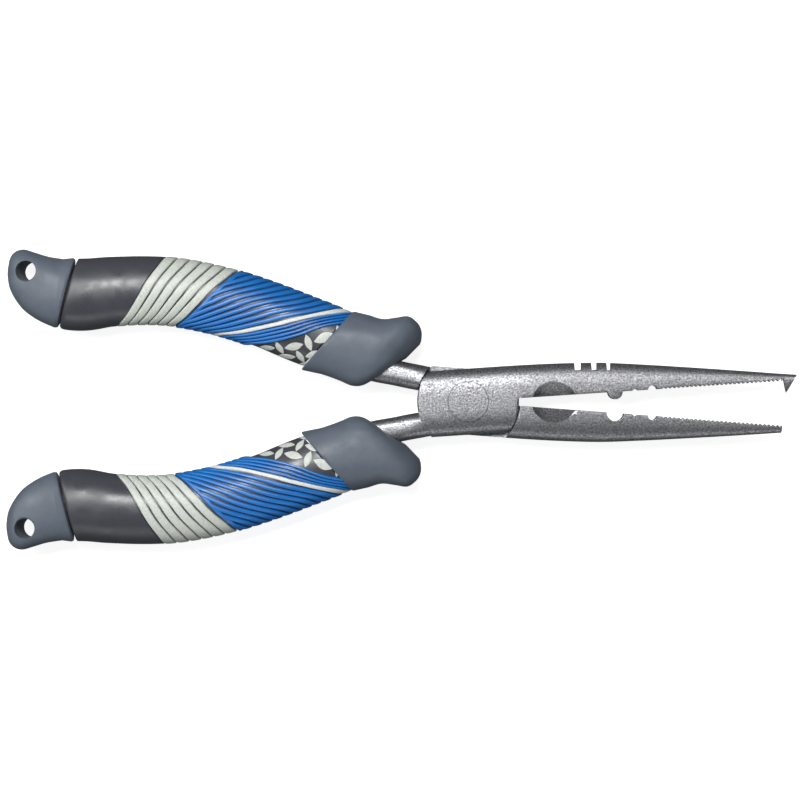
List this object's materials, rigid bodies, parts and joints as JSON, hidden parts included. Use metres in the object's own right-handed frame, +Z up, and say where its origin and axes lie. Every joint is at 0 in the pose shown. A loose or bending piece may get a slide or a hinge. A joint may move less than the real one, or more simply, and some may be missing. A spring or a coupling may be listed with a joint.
{
  "type": "fishing pliers",
  "caption": "Long-nose fishing pliers with a lap joint, side cutter, crimping notches, split-ring hook and moulded grips with lanyard holes.",
  "frame": {"origin": "on the pivot's axis, on the flat underside of the joint", "axes": "+X from the pivot towards the jaw tips, +Y towards the hooked jaw, +Z up through the joint, along the pivot"},
  "size_m": [0.2287, 0.0868, 0.0186],
  "materials": {
    "coated_steel": "silver-grey hammered metallic coat with a fine speckle",
    "bronze": "plain turned washer",
    "core_plastic": "plain moulding",
    "charcoal_rubber": "smooth satin overmould",
    "grey_rubber": "fine matt moulding",
    "glow_rubber": "pale green-white, slightly translucent",
    "blue_rubber": "ribbed, satin",
    "white_rubber": "smooth, satin"
  },
  "bodies": {
    "hooked_half": {"upper_jaw_half": "coated_steel", "pivot_rivet": "coated_steel", "rivet_collar": "coated_steel", "joint_shim": "bronze", "lower_grip_core": "core_plastic", "lower_grip_sleeve": "charcoal_rubber", "lower_thumb_guard": "grey_rubber", "lower_tail_cap": "grey_rubber", "lower_blue_wrap": "blue_rubber", "lower_white_stripe": "white_rubber", "lower_glow_band_1": "glow_rubber", "lower_glow_band_2": "glow_rubber", "lower_glow_band_3": "glow_rubber", "lower_glow_band_4": "glow_rubber", "lower_glow_band_5": "glow_rubber", "lower_glow_band_6": "glow_rubber"},
    "plain_half": {"lower_jaw_half": "coated_steel", "upper_grip_core": "core_plastic", "upper_grip_sleeve": "charcoal_rubber", "upper_thumb_guard": "grey_rubber", "upper_tail_cap": "grey_rubber", "upper_blue_wrap": "blue_rubber", "upper_white_stripe": "white_rubber", "upper_glow_band_1": "glow_rubber", "upper_glow_band_2": "glow_rubber", "upper_glow_band_3": "glow_rubber", "upper_glow_band_4": "glow_rubber", "upper_glow_band_5": "glow_rubber", "upper_glow_band_6": "glow_rubber"}
  },
  "joints": [
    {"name": "jaw_pivot", "type": "hinge", "parent": "hooked_half", "child": "plain_half", "pos_m": [0, 0, 0.0055], "axis": [0, 0, -1], "range_deg": [-8, 30]}
  ]
}
